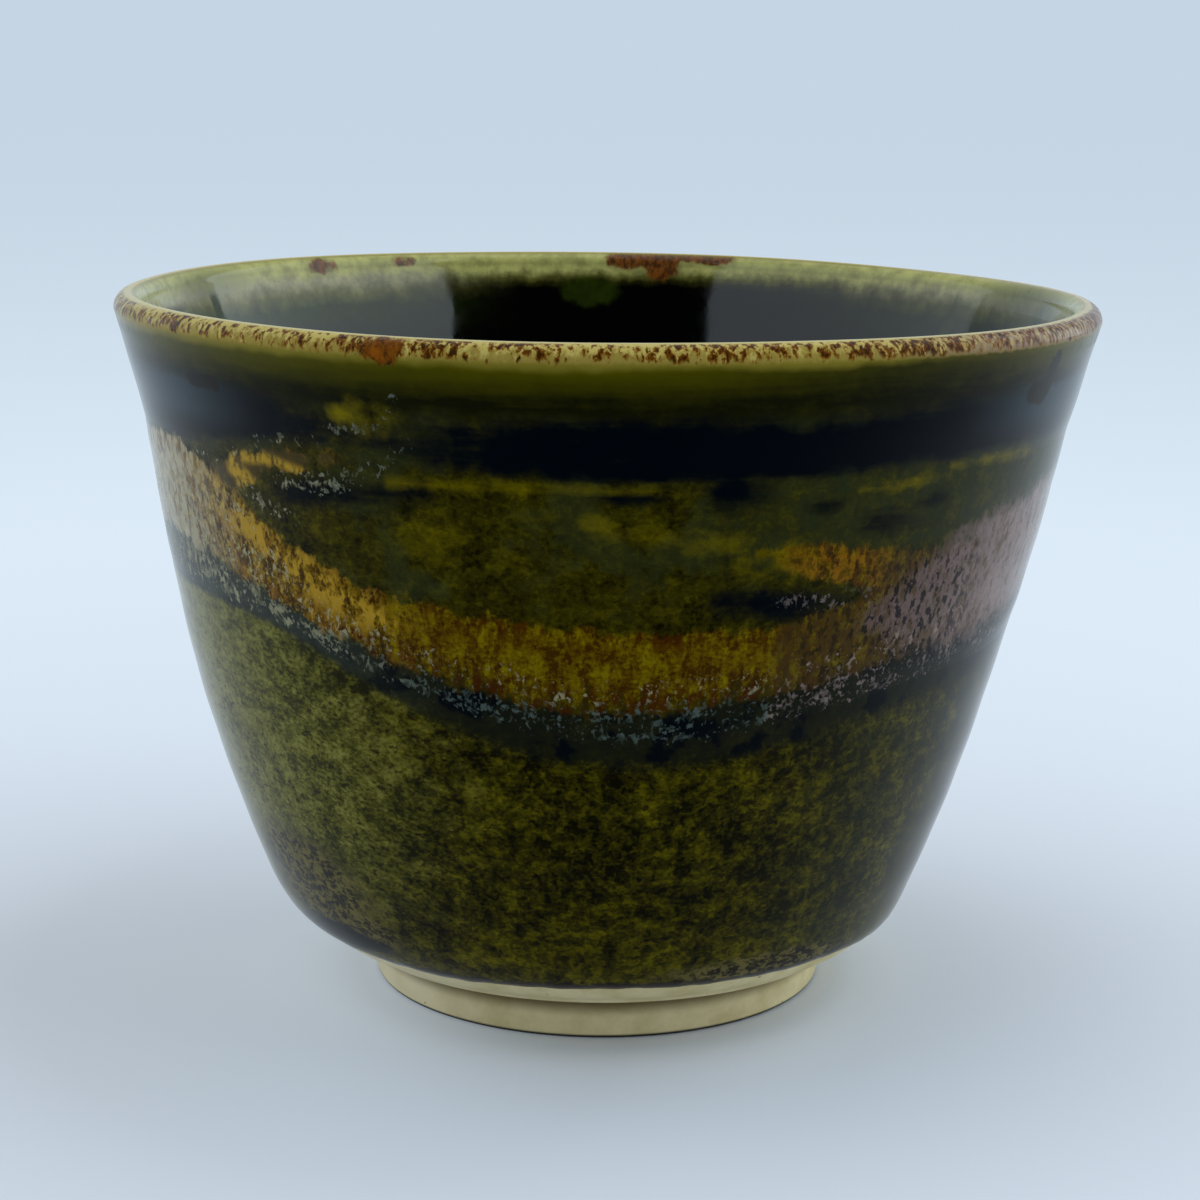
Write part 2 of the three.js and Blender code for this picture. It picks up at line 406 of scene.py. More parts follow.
body_outline = [
    (0, BASE),
    (FOOT_RADIUS - FOOT_WIDTH, BASE),
    (FOOT_RADIUS, BASE),
    (UNDERSIDE_RADIUS - UNDERSIDE_EDGE, BASE),
    *arc((UNDERSIDE_RADIUS - UNDERSIDE_EDGE, BASE + UNDERSIDE_EDGE), UNDERSIDE_EDGE, 280, 345, 4),
    *[
        fuller((
            UNDERSIDE_RADIUS + (GLAZE_LINE[0] - UNDERSIDE_RADIUS) * share,
            BASE + UNDERSIDE_EDGE + (GLAZE_LINE[1] - BASE - UNDERSIDE_EDGE) * share,
        ))
        for share in (0.1, 0.25, 0.4, 0.55, 0.7, 0.85)
    ],
    *clay_outside[:-1],
    *arc(lip_middle, LIP_ROUND, 0, 180, 10)[:-1],
    *clay_inside,
]
clay_body = turned_piece("clay_body_thrown", body_outline, BODY_TURNS)
shape_by_hand(clay_body)
smooth_faces(clay_body)
dress(clay_body, bare_clay, "clay_body")


# Liner glaze
# Clear olive glaze, poured in, swirled round and tipped out again. It breaks pale at the lip, runs down the
# wall in streaks and gathers dark on the floor.
SEAT_GAP = 0.05
COAT = 0.5
LIP_COAT = 0.35
COAT_TURNS = 360
LIP_BAND = LIP[1] - 1.6
LINER_IOR = 1.4
LINER_RUNS = 1.6
RING_DEPTH = 0.09
LINER_PALE = (0.37, 0.365, 0.115, 1)
LINER_CREAM = (0.32, 0.3, 0.17, 1)
LINER_OLIVE = (0.1, 0.1, 0.02, 1)
LINER_BROWN = (0.018, 0.017, 0.002, 1)
LINER_GREEN = (0.016, 0.026, 0.001, 1)
LINER_DEEP = (0.0006, 0.0006, 0.0004, 1)
RUST = (0.17, 0.045, 0.005, 1)
RUST_DEEP = (0.055, 0.009, 0.002, 1)


def offset(outline, depths):
    """An outline moved to its right-hand side by a depth at each point."""
    points = np.array(outline)
    along = np.gradient(points, axis=0)
    along /= np.linalg.norm(along, axis=1)[:, None]
    out = np.column_stack([along[:, 1], -along[:, 0]])
    return [tuple(p) for p in points + out * np.broadcast_to(depths, len(points))[:, None]]


def coat_outline(carrier, depths):
    """A closed outline for a coat on an outline of the clay, with fewer points on the hidden side."""
    seat = offset(carrier, SEAT_GAP)[::-1]
    return seat[:-1:2] + seat[-1:] + offset(carrier, depths)


def coat_depth(level):
    """How far a coat's skin stands off the clay. It thins towards the lip."""
    return SEAT_GAP + COAT - (COAT - LIP_COAT) * ease(level, NECK[1], LIP_BAND)


def soft_patches(azimuth, level, patches):
    """How far each point lies in patches: azimuth, height, half width in degrees, half height, strength."""
    total = np.zeros(len(level))
    for middle, high, wide, tall, strength in patches:
        aside = (azimuth - middle + 180) % 360 - 180
        away = (aside / wide) ** 2 + ((level - high) / tall) ** 2
        total = np.maximum(total, strength * np.exp(-(away**1.5)))
    return total


def mark(piece, **marks):
    """Stores named values for each of the piece's vertices, for its material to read."""
    for name, values in marks.items():
        stored = piece.data.attributes.new(name, "FLOAT", "POINT")
        stored.data.foreach_set("value", values.astype(np.float32))


def marked(tree, name):
    """A value that mark stored."""
    return put(tree, "Attribute", attribute_name=name).outputs["Fac"]


def ragged(tree, mask, noise, amount):
    """A mask that noise pushes up and down, so that its edge is ragged."""
    return weigh(tree, (mask, 1.0), (sums(tree, "SUBTRACT", noise, 0.5), amount))


def torn_mark(tree, name, *pushes, keep=0.0):
    """A stored mask, made ragged by (noise, amount) pushes. With keep, none of it strays to where it is 0."""
    mask = marked(tree, name)
    for noise, amount in pushes:
        mask = ragged(tree, mask, noise, amount)
    if keep:
        mask = both(tree, mask, rise(tree, marked(tree, name), 0.0, keep))
    return mask


def where(tree, name, noise, *steps):
    """A stored mask, broken up by a smooth step of a noise."""
    return both(tree, marked(tree, name), rise(tree, noise, *steps))


def new_group(name, inputs, outputs):
    """An empty shader node group with named inputs and outputs: its tree, and the nodes at its two ends."""
    group = bpy.data.node_groups.new(name, "ShaderNodeTree")
    for label in inputs:
        group.interface.new_socket(label, in_out="INPUT", socket_type="NodeSocketFloat")
    for label, kind in outputs.items():
        group.interface.new_socket(label, in_out="OUTPUT", socket_type="NodeSocket" + kind)
    return group, group.nodes.new("NodeGroupInput"), group.nodes.new("NodeGroupOutput")


RUST_INSIDE = [
    (176.5, 71.4, 4.0, 1.4, 1.0),
    (172, 70.7, 3.2, 2.2, 0.95),
    (166, 71.6, 5.0, 0.8, 0.85),
    (-149.5, 71.4, 2.2, 0.9, 1.0),
    (-136.2, 71.2, 2.8, 1.1, 0.9),
]
GREEN_INSIDE = [
    (-177.4, 67.6, 5, 2.0, 1.0),
    (-112.5, 67.0, 1.4, 3.6, 1.0),
    # Painted shade: a dark band along the inside of the front lip, on the left
    (-96, 68.5, 10, 0.9, 0.8),
    (-112, 70.5, 14, 2.4, 0.55),
    (104, 70.3, 20, 2.4, 0.6),
    # Painted shade: a dark band along the inside of the front lip, on the right
    (94, 68.2, 11, 0.8, 0.8),
    (123, 66.0, 1.5, 4.5, 0.8),
    (60, 64, 7, 8, 0.5),
    (-30, 61, 9, 9, 0.6),
    (15, 63, 6, 8, 0.5),
]
# How far down the glaze stays thin: azimuth, share
LINER_THIN = np.array([
    (-180, 0.0),
    (-161, 0.0),
    (-152, 0.75),
    (-140, 1.0),
    (-60, 0.8),
    (0, 0.5),
    (60, 0.6),
    (108, 0.5),
    (122, 0.75),
    (132, 0.55),
    (145, 0.1),
    (164, 0.0),
])


def eased_round(azimuth, stations):
    """Values that run smoothly through their stations round the cup, one per column after the azimuth."""
    turns = (-6, -3, 0, 3, 6)
    return [
        sum(np.interp(azimuth + turn, stations[:, 0], column, period=360) for turn in turns) / len(turns)
        for column in stations.T[1:]
    ]


def mark_liner(piece, more_rust=()):
    """Stores where the inside glaze runs thin, green or rusty, and where shade under the front lip is painted
    dark.
    """
    places = places_of(piece)
    azimuth = azimuth_of(places)
    level = places[:, 2]
    mark(
        piece,
        rust=soft_patches(azimuth, level, [*RUST_INSIDE, *more_rust]),
        green=soft_patches(azimuth, level, GREEN_INSIDE),
        thin=eased_round(azimuth, LINER_THIN)[0],
    )


g, group_in, group_out = new_group("liner_colours", ["Runs"], {"Colour": "Color", "Relief": "Float"})
liner_group = g
runs = grain(g, 3.2, 4, 0.55, along=(1, 1, 4), shift=3)
mottle = grain(g, 1.6, 6, 0.62)
level = ragged(g, ragged(g, height_of(g), runs, group_in.outputs["Runs"]), mottle, 0.8)
near_lip = weigh(g, (level, 0.08), (-4.8, 1.0))
thick_tone = ramp(
    g,
    near_lip,
    [(0.65, LINER_DEEP), (0.7, LINER_BROWN), (0.75, LINER_OLIVE), (0.82, LINER_PALE)],
)
thin_tone = ramp(
    g,
    near_lip,
    [(0.2, LINER_DEEP), (0.54, LINER_GREEN), (0.65, LINER_OLIVE), (0.77, LINER_CREAM), (0.86, LINER_PALE)],
)
# Dark green streaks and patches inside, and the painted shade under the front lip
green = rise(g, torn_mark(g, "green", (mottle, 0.6)), 0.3, 0.8, 0.0, 0.9)
tone = layered(g, thick_tone, (marked(g, "thin"), thin_tone), (green, LINER_GREEN))
shade = rise(g, mottle, 0.3, 0.7, 0.75, 1.25)
tone = put(g, "Mix", {0: 1.0, 6: tone, 7: shade}, data_type="RGBA", blend_type="MULTIPLY").outputs[2]
rust_grain = grain(g, 0.6, 4, 0.66, along=(1, 1, 2.5), shift=13)
rust_tone = blend(g, rise(g, rust_grain, 0.42, 0.58), RUST_DEEP, RUST)
rust = torn_mark(g, "rust", (mottle, 1.4), (runs, 1.6), keep=0.2)
tone = blend(g, rise(g, rust, 0.3, 0.75, 0.0, 0.95), tone, rust_tone)
g.links.new(tone, group_out.inputs["Colour"])
g.links.new(grain(g, 1.4, 2, 0.4), group_out.inputs["Relief"])

tree, shader, liner_glaze = new_material("liner_glaze")
colours = put(tree, "Group", {"Runs": LINER_RUNS}, node_tree=liner_group)
relief = colours.outputs["Relief"]
rough = rise(tree, relief, 0.3, 0.7, 0.05, 0.09)
lay_surface(tree, shader, colours.outputs["Colour"], rough, relief, 0.1, 0.05)
shader.inputs["IOR"].default_value = LINER_IOR

liner_carrier = [(float(wall_inside(LIP_BAND)), LIP_BAND)]
liner_carrier += [point for point in clay_inside if point[1] < LIP_BAND]
liner_depths = [float(coat_depth(point[1])) for point in liner_carrier]
liner_outline = coat_outline(liner_carrier, liner_depths)
liner = turned_piece("liner_glaze_coat", liner_outline, COAT_TURNS)
places = places_of(liner)
radius = np.maximum(np.hypot(places[:, 0], places[:, 1]), 10)
rings = RING_DEPTH * np.sin(places[:, 2] * 1.15 + np.radians(azimuth_of(places)))
rings *= between(places[:, 2], 22, 30, 54, 62)
places[:, :2] *= (1 - rings / radius)[:, None]
put_places(liner, places)
shape_by_hand(liner)
mark_liner(liner)
smooth_faces(liner)
dress(liner, liner_glaze, "liner_glaze")


# Outer glaze
# The olive base coat. The cup is dipped in it upside down, held by its foot, so it ends in a thin dark line
# above the bare band. Iron and rutile mottle it, and a blue-black collar forms where it lies thick.
OLIVE_SHADE = (0.004, 0.0035, 0.0003, 1)
OLIVE = (0.031, 0.0262, 0.0005, 1)
OLIVE_LIGHT = (0.08, 0.068, 0.0008, 1)
OLIVE_PALE = (0.15, 0.125, 0.001, 1)
OLIVE_COOL = (0.019, 0.025, 0.008, 1)
OLIVE_BROWN = (0.01, 0.0055, 0.0008, 1)
KHAKI_SHADE = (0.036, 0.035, 0.003, 1)
KHAKI = (0.104, 0.1, 0.01, 1)
KHAKI_LIGHT = (0.2, 0.19, 0.04, 1)
KHAKI_PALE = (0.23, 0.22, 0.09, 1)
BLOOM = (0.4, 0.37, 0.25, 1)
UMBER_SHADE = (0.009, 0.007, 0.007, 1)
UMBER_LIGHT = (0.13, 0.105, 0.03, 1)
UNDER_LIP = (0.068, 0.062, 0.0004, 1)
UNDER_LIP_SHADE = (0.006, 0.0065, 0.001, 1)
NAVY = (0.0003, 0.0016, 0.0036, 1)
# Paler blue-grey for the collar's sides: partly the glaze's own slate colour, partly painted sheen
SLATE = (0.019, 0.034, 0.044, 1)
FRINGE = (0.007, 0.0085, 0.0045, 1)
FRINGE_TEAL = (0.018, 0.026, 0.022, 1)
YELLOW = (0.165, 0.13, 0.0006, 1)
TAIL = (0.085, 0.066, 0.0008, 1)
GLAZE_EDGE = (0.009, 0.004, 0.0015, 1)
OCHRE_BROWN = (0.042, 0.017, 0.0004, 1)
OCHRE = (0.1, 0.06, 0.0006, 1)
OCHRE_YELLOW = (0.17, 0.125, 0.001, 1)
OCHRE_RED = (0.045, 0.01, 0.0005, 1)
OCHRE_BRIGHT = (0.26, 0.145, 0.006, 1)
OCHRE_FOOT = (0.022, 0.017, 0.002, 1)
ORANGE = (0.4, 0.24, 0.018, 1)
BRANCH_ORANGE = (0.24, 0.105, 0.003, 1)
HOOK_BROWN = (0.05, 0.036, 0.01, 1)
BEIGE = (0.27, 0.175, 0.055, 1)
HONEY = (0.46, 0.31, 0.05, 1)
AMBER = (0.17, 0.075, 0.004, 1)
MAUVE = (0.135, 0.092, 0.084, 1)
# Pale mauve: the painted sheen on the mauve toward the right, and the pale tint of crystals on the seam
MAUVE_PALE = (0.23, 0.165, 0.155, 1)
MAUVE_BROWN = (0.05, 0.028, 0.006, 1)
CRYSTAL = (0.08, 0.11, 0.095, 1)
CRYSTAL_WARM = (0.3, 0.27, 0.15, 1)
BROWN_MARK = (0.006, 0.004, 0.0015, 1)
GLOSS_TINT = (0.015, 0.015, 0.015, 1)
GLOSS_IOR = 1.25
OUTER_STEP = 0.55
EDGE_DEPTHS = (0.2, 0.4)
EDGE_LIFT = 0.45
LEFT_LIFT = 1.2
CRYSTAL_HEIGHT = 0.4

# The swag round the wall: azimuth, the heights of its top edge, of the foot of its ochre and of its fringe
SWAG = np.array([
    (-180, 46.5, 39.5, 36.5),
    (-150, 49.0, 43.0, 40.0),
    (-120, 56.0, 47.5, 44.5),
    (-90, 59.0, 49.6, 46.0),
    (-62, 60.0, 50.0, 45.4),
    (-54, 59.0, 48.9, 45.2),
    (-48, 56.4, 47.5, 44.9),
    (-43, 53.2, 46.3, 44.2),
    (-37, 51.1, 44.8, 42.8),
    (-30, 49.4, 42.8, 40.5),
    (-23, 48.2, 41.2, 38.7),
    (-11, 46.6, 38.8, 36.1),
    (3, 45.8, 37.8, 34.5),
    (17, 45.5, 38.7, 35.4),
    (31, 47.9, 40.4, 37.5),
    (45, 51.6, 42.0, 39.0),
    (65, 53.0, 43.0, 39.6),
    (90, 55.0, 45.0, 42.0),
    (120, 54.0, 44.5, 41.5),
    (150, 49.0, 41.5, 38.5),
])
# The blue-black collar under the lip: azimuth, its lower and upper height, and how dark it is
COLLAR = np.array([
    (-180, 60.2, 65.4, 0.9),
    (-140, 60.6, 65.6, 0.8),
    (-100, 60.8, 65.8, 0.9),
    (-60, 60.4, 66.6, 1.0),
    (-45, 61.4, 66.6, 1.0),
    (-34, 62.2, 65.8, 0.9),
    (-28, 62.0, 64.8, 0.4),
    (-22, 61.0, 64.8, 0.55),
    (-13, 60.4, 65.0, 0.95),
    (-5, 60.0, 65.5, 1.0),
    (10, 59.8, 65.6, 1.0),
    (27, 60.2, 65.0, 1.0),
    (40, 60.6, 66.2, 1.0),
    (55, 61.0, 66.6, 0.95),
    (90, 60.4, 65.6, 0.9),
    (140, 59.8, 65.2, 0.95),
])
# Short strokes as (azimuth, height, half width)
BRANCH = [(9, 53.9, 0.6), (17, 53.3, 1.0), (25, 51.9, 1.7), (33, 50.6, 2.2), (40, 50.0, 2.4)]
HOOK = [
    (-51, 57.4, 1.2), (-48, 57.4, 1.5), (-45, 58.6, 1.6),
    (-40, 60.2, 0.9), (-36, 60.0, 0.8), (-31, 60.6, 0.4),
]
ORANGE_LINES = [
    [(-46.5, 59.5, 0.35), (-41, 59.8, 0.4), (-35, 59.0, 0.15)],
    [(-46.8, 58.5, 0.9), (-45.2, 57.3, 1.1)],
]
GOLD_LINES = [[(-53, 56.4, 0.8), (-48, 53.6, 1.2), (-42, 51.4, 1.5), (-35, 48.6, 1.4), (-26, 45.6, 0.8)]]
CRYSTAL_LINES = [
    [(-47, 59.6, 0.15), (-42.6, 60.9, 0.25), (-39, 61.9, 0.3), (-36, 62.3, 0.3), (-32, 61.9, 0.2)],
    [(-40, 57.9, 0.8), (-32, 58.2, 1.2), (-28, 59.2, 0.9), (-24, 60.5, 0.5), (-21.2, 62.7, 0.3)],
    [(-46.5, 56.6, 0.5), (-42.5, 55.6, 0.8), (-38, 54.4, 0.5)],
    [(-55, 59.2, 0.3), (-50, 58.6, 0.3)],
    [(-52, 56.5, 0.4), (-47, 54.0, 0.6), (-42, 52.6, 0.4)],
    [(20, 48.5, 0.4), (26, 48.1, 0.8), (33, 48.2, 1.0)],
    [(-31, 63.6, 0.3), (-25, 63.4, 0.4), (-22, 66.6, 0.2)],
    [(-66, 50.4, 2.4), (-58, 50.0, 2.6), (-50, 48.4, 1.8), (-44, 47.0, 1.2)],
]
NAVY_LINES = [
    [(-38, 57.0, 0.9), (-29, 57.5, 0.8), (-20, 58.4, 0.5)],
    [(14, 48.6, 1.0), (21, 47.9, 1.2), (28, 47.2, 0.9)],
    [(36, 40.8, 1.0), (47, 40.8, 1.4), (60, 41.4, 1.2)],
]
NAVY_PATCHES = [
    (14.5, 58.8, 4.5, 2.2, 0.75),
    (2.5, 58.3, 4.5, 0.7, 0.7),
    (24.5, 57.0, 3.5, 0.9, 0.65),
    (39.5, 56.7, 3.5, 1.0, 0.65),
    (33, 55.2, 7, 1.6, 0.45),
    (-51, 10.2, 16, 1.5, 0.95),
]
YELLOW_LINES = [
    [(-24, 58.9, 0.5), (-12, 59.2, 0.45), (6, 59.1, 0.1)],
    [(29, 58.4, 0.1), (36, 58.6, 0.5), (42, 58.7, 0.2)],
    [(42, 59.7, 0.2), (50, 59.8, 0.45), (60, 59.5, 0.3)],
    [(100, 58.8, 0.4), (130, 59.2, 0.5), (160, 58.9, 0.3)],
    [(-150, 59.2, 0.4), (-120, 59.5, 0.4), (-95, 59.1, 0.3)],
]
YELLOW_PATCHES = [
    (-28.9, 64.8, 1.7, 1.2, 1.0),
    (-26, 64.6, 5, 2.2, 0.45),
    (-1.0, 56.0, 2.4, 1.2, 0.6),
    (5, 55.0, 6, 1.4, 0.45),
    (12.5, 54.0, 6, 1.4, 0.55),
    (21, 52.4, 8, 2.4, 0.5),
    (-19, 53.4, 6, 2.4, 0.5),
    (-11, 52.0, 4, 2.0, 0.35),
    (-33, 53.4, 5, 2.0, 0.35),
]
MAUVE_LINES = [
    [
        (33, 45.6, 0.2), (41, 46.2, 3.2), (48, 47.4, 4.8), (56, 48.4, 5.4),
        (66, 49.8, 5.2), (84, 52.0, 3.2), (112, 54.0, 0.3),
    ],
    [(-150, 46.4, 1.6), (-130, 51.0, 2.2), (-114, 53.6, 1.4), (-92, 56.0, 0.1)],
]
BROWN_LINES = [
    [(-51.8, 66.3, 0.4), (-47, 66.2, 0.45)],
    [(58.0, 68.6, 0.6), (57.8, 66.8, 0.8), (56.6, 65.5, 1.0), (54.2, 65.6, 0.8)],
]
KHAKI_PATCHES = [(-68, 30, 44, 24, 1.0), (118, 26, 26, 16, 0.5), (-165, 28, 22, 14, 0.4)]
UMBER_PATCHES = [
    (-54, 15.5, 16, 6.0, 1.0),
    (-42, 11.5, 9, 3.0, 0.8),
    (30, 9.4, 22, 2.0, 0.75),
    (150, 14, 24, 5.0, 0.7),
    (75, 12, 18, 4.0, 0.5),
]


def in_stroke(azimuth, level, stroke):
    """How far each point lies inside a stroke, in millimetres. Outside it is negative."""
    unrolled = np.column_stack([np.radians(azimuth) * NECK[0], level])
    best = np.full(len(level), -100.0)
    for (a, b, wide), (c, d, next_wide) in zip(stroke, stroke[1:]):
        start = np.array([math.radians(a) * NECK[0], b])
        run = np.array([math.radians(c) * NECK[0], d]) - start
        share = np.clip((unrolled - start) @ run / (run @ run), 0, 1)
        away = np.linalg.norm(unrolled - start - share[:, None] * run, axis=1)
        best = np.maximum(best, wide + (next_wide - wide) * share - away)
    return best


def in_lines(azimuth, level, lines, soft):
    """How far each point lies in any of several strokes, from 0 outside to 1 inside, with soft edges."""
    return np.maximum.reduce([ease(in_stroke(azimuth, level, line), -soft, soft / 2) for line in lines])


def edge_lift(azimuth):
    """How far the glaze ends above or below its mean line. The cup was dipped a little askew."""
    turn = np.radians(azimuth)
    waves = 0.14 * np.sin(3 * turn + 0.4) + 0.09 * np.sin(7 * turn + 1.9) + 0.05 * np.sin(17 * turn)
    waves += 0.04 * np.sin(41 * turn + 2) + 0.03 * np.sin(67 * turn)
    return waves + EDGE_LIFT + LEFT_LIFT * np.exp(-(((np.asarray(azimuth) + 78) / 17) ** 2))


def mark_run_glazes(piece):
    """Stores where the poured glazes lie on a piece of the outside."""
    places = places_of(piece)
    azimuth = azimuth_of(places)
    level = places[:, 2]
    top, ochre_foot, fringe_foot = eased_round(azimuth, SWAG)
    share = (level - ochre_foot) / (top - ochre_foot)
    in_swag = np.minimum(top - level, level - ochre_foot)
    branch, hook = (in_stroke(azimuth, level, stroke) for stroke in (BRANCH, HOOK))
    in_branch = ease(branch, -1.5, 0.5) * (1 - ease(azimuth, 30, 38))
    left = between(azimuth, -16, -44, -120, -160)
    fringe = ease(level, fringe_foot - 0.7, fringe_foot + 0.9) * (1 - ease(share, -0.1, 0.3))
    sparse = between(share, -0.3, 0.0, 0.25 + 0.25 * left, 0.6 + 0.3 * left)
    crystals = [(1 + 0.4 * left) * fringe, (0.75 + 0.15 * left) * sparse]
    halo_foot = fringe_foot - 1.6 - 2.8 * ease(azimuth, -42, -8)
    low, high, depth = eased_round(azimuth, COLLAR)
    collar = depth * between(level, low - 1.6, low + 1.2, high - 2.0, high + 1.6)
    navy_runs = 0.8 * in_lines(azimuth, level, NAVY_LINES, 2.2)
    yellow_runs = 0.56 * in_lines(azimuth, level, YELLOW_LINES, 1.0)
    # The collar is paler and bluer at the sides: partly its slate colour, partly painted sheen
    slate = 0.95 * between(azimuth, -38, -58, -100, -140) + between(azimuth, 40, 62, 100, 140)
    dim = ease(azimuth, 6, 20) * ease(level, 49, 54)
    dim += 0.5 * ease(azimuth, 20, 42) * (1 - ease(level, 36, 44))
    mark(
        piece,
        ochre=np.maximum.reduce([in_swag, branch - 1.1 + 1.1 * ease(azimuth, 12, 25), hook]),
        swag_share=share,
        hooked=ease(hook, -0.6, 0.2) * ease(level - top, -0.8, 0.6),
        tail=0.85 * ease(branch, -1.2, -0.2) * (1 - ease(azimuth, 15, 25)),
        crystal=np.maximum.reduce([*crystals, in_lines(azimuth, level, CRYSTAL_LINES, 0.7)]),
        halo=ease(level, halo_foot, fringe_foot + 0.4) * (1 - ease(share, -0.12, 0.22)),
        navy=np.maximum.reduce([collar, navy_runs, soft_patches(azimuth, level, NAVY_PATCHES)]),
        slate=slate * ease(level, 61, 64),
        under=ease(level, 66.2, 70.6) * (1 - 0.6 * between(azimuth, 2, 30, 42, 62)),
        yellow=np.maximum(yellow_runs, soft_patches(azimuth, level, YELLOW_PATCHES)),
        orange=in_lines(azimuth, level, ORANGE_LINES, 0.6),
        gold=in_lines(azimuth, level, GOLD_LINES, 1.8),
        glow=ease(branch, -0.6, 0.8) * between(azimuth, 18, 26, 31, 37),
        beige=between(azimuth, -43, -52, -95, -150) * ease(level, 49, 53),
        bright=left,
        seam=between(azimuth, 20.3, 21.0, 100, 140) * (1 - 0.8 * in_branch),
        mauve=in_lines(azimuth, level, MAUVE_LINES, 3.2),
        pale=ease(azimuth, 40, 62),
        pitted=between(azimuth, 20, 25, 46, 56) + ease(-azimuth, 92, 122),
        brown=in_lines(azimuth, level, BROWN_LINES, 0.8),
        far_left=between(-azimuth, 42, 74, 78, 125),
        bloom=between(-azimuth, 46, 64, 70, 104),
        dim=dim * (1 - ease(azimuth, 75, 105)),
        khaki=soft_patches(azimuth, level, KHAKI_PATCHES),
        umber=soft_patches(azimuth, level, UMBER_PATCHES),
        from_edge=level - GLAZE_LINE[1] - edge_lift(azimuth),
    )


def flecks(tree, size, chance, shift):
    """Small ragged specks. There are more of them where the chance is high, and none where it is 0."""
    specks = grain(tree, size, 3, 0.55, warp=0.4, along=(1, 1, 1.25), shift=shift)
    found = rise(tree, weigh(tree, (specks, 1.0), (chance, 0.16)), 0.69, 0.76)
    return both(tree, found, rise(tree, chance, 0.05, 0.3))


g, group_in, group_out = new_group(
    "run_glaze_colours",
    ["Crystal Height"],
    {"Colour": "Color", "Crystals": "Float", "Relief": "Float"},
)
run_group = g
level = height_of(g)
cloud = grain(g, 8.0, 3, 0.5)
mottle = grain(g, 2.0, 6, 0.68, along=(1.25, 1.25, 0.9))
fine = grain(g, 0.4, 3, 0.62, along=(1.3, 1.3, 0.9))
columns = grain(g, 2.4, 3, 0.5, along=(1, 1, 7), shift=17)
streak = grain(g, 1.0, 5, 0.66, warp=0.3, along=(1, 1, 3), shift=9)
torn = grain(g, 0.9, 5, 0.68, along=(1, 1, 1.7), shift=5)
sway = grain(g, 3.0, 3, 0.5, shift=15)
pools = grain(g, 3.4, 3, 0.55, shift=27)

dabs = rise(g, grain(g, 1.1, 4, 0.6, warp=0.5, shift=63), 0.46, 0.55)
tone = weigh(g, (mottle, 0.6), (dabs, 0.09), (cloud, 0.2), (fine, 0.35), (columns, 0.2), (-0.72, 1.0))
calm = rise(g, level, 40, 48, 1.0, 0.62)
# Painted light: the olive is lighter below 17 mm, most at the glaze edge, where the belly turns down towards
# the floor. Above 42 mm it is a little lighter too.
lift = sums(g, "ADD", rise(g, level, 17, 8.5, 0.0, 0.09), rise(g, level, 42, 50, 0.0, 0.015))
tone = sums(g, "ADD", both(g, tone, calm), sums(g, "ADD", lift, 0.488))
cool = both(g, rise(g, level, 43, 50), rise(g, ragged(g, cloud, mottle, 0.4), 0.46, 0.6, 0.0, 0.6))
cool = sums(g, "MAXIMUM", cool, where(g, "dim", mottle, 0.36, 0.6, 0.85, 0.4))
khaki_tone = weigh(g, (mottle, 0.65), (fine, 0.6), (cloud, 0.15), (-0.2, 1.0))
khaki = ramp(g, khaki_tone, [(0.4, KHAKI_SHADE), (0.5, KHAKI), (0.62, KHAKI_LIGHT)])
# Toward the left edge the khaki turns paler: partly a paler glaze, partly painted sheen
khaki = blend(g, where(g, "far_left", mottle, 0.35, 0.6, 0.3, 0.8), khaki, KHAKI_PALE)
dash = grain(g, 0.6, 4, 0.6, along=(1.6, 1.6, 1.0), shift=11)
dash = both(g, rise(g, dash, 0.57, 0.65), rise(g, level, 46, 34, 0.15, 0.75))
umber_grain = grain(g, 0.9, 6, 0.72, along=(1.3, 1.3, 0.9), shift=37)
umber_spots = weigh(g, (umber_grain, 0.7), (fine, 0.3))
umber = blend(g, rise(g, umber_spots, 0.55, 0.45), UMBER_SHADE, UMBER_LIGHT)
bands = grain(g, 1.2, 3, 0.5, along=(6, 6, 0.6), shift=23)
under = blend(g, torn_mark(g, "under", (bands, 0.4), (mottle, 0.5)), UNDER_LIP_SHADE, UNDER_LIP)
navy = torn_mark(g, "navy", (mottle, 0.7), (pools, 0.8), (bands, 0.5), keep=0.2)
yellow = torn_mark(g, "yellow", (mottle, 1.1), keep=0.2)
halo = torn_mark(g, "halo", (torn, 0.7), keep=0.15)
dark_pools = both(g, rise(g, pools, 0.5, 0.6), rise(g, marked(g, "bright"), 0.0, 1.0, 0.9, 0.3))
edge = torn_mark(g, "from_edge", (mottle, 2.6), (dash, 0.6))
olive = layered(
    g,
    ramp(g, tone, [(0.39, OLIVE_SHADE), (0.515, OLIVE), (0.64, OLIVE_LIGHT), (0.76, OLIVE_PALE)]),
    (cool, OLIVE_COOL),
    (rise(g, torn_mark(g, "khaki", (mottle, 0.7)), 0.1, 0.95, 0.0, 0.9), khaki),
    (dash, OLIVE_BROWN),
    (rise(g, torn_mark(g, "umber", (mottle, 0.9)), 0.18, 0.7, 0.0, 0.9), umber),
    (rise(g, ragged(g, level, sway, 2.0), 64.0, 66.4), under),
    (rise(g, navy, 0.1, 0.85), blend(g, marked(g, "slate"), NAVY, SLATE)),
    (rise(g, yellow, 0.15, 1.15), YELLOW),
    (rise(g, halo, 0.1, 0.8, 0.0, 0.9), blend(g, marked(g, "bright"), FRINGE, FRINGE_TEAL)),
    (both(g, rise(g, halo, 0.2, 0.7), dark_pools), NAVY),
    (rise(g, edge, 0.8, 0.25, 0.0, 0.95), GLAZE_EDGE),
)

